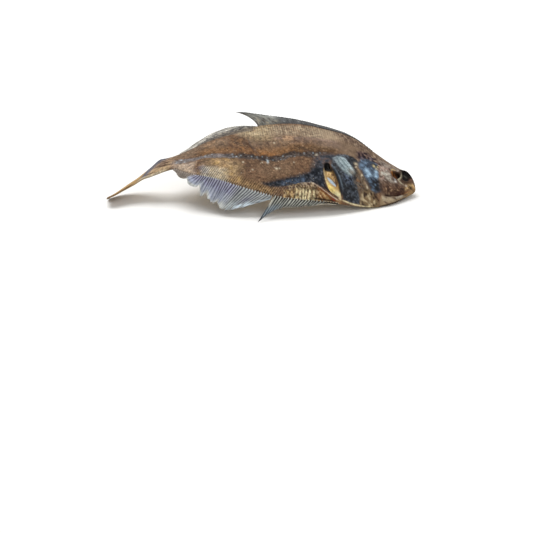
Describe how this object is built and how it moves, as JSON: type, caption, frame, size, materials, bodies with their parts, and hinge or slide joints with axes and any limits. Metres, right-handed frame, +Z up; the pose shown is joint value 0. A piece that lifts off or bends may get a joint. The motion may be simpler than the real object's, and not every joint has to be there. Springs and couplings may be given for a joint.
{
  "type": "dried flatfish",
  "caption": "Whole dried flatfish lying arched on its blind side: oval body, both eyes on the upper side, open gill slit, swept ragged fins and a narrow folded tail.",
  "frame": {"origin": "middle of the box's underside, on the surface that the fish lies on", "axes": "+X towards the snout, +Y towards the back (dorsal) edge, +Z up, with the eyed side up"},
  "size_m": [0.2084, 0.0956, 0.0454],
  "materials": {
    "dried_skin": "dry satin skin, golden brown with dark slate head and pale grey fins"
  },
  "bodies": {
    "root": {"dried_plaice": "dried_skin"}
  },
  "joints": []
}
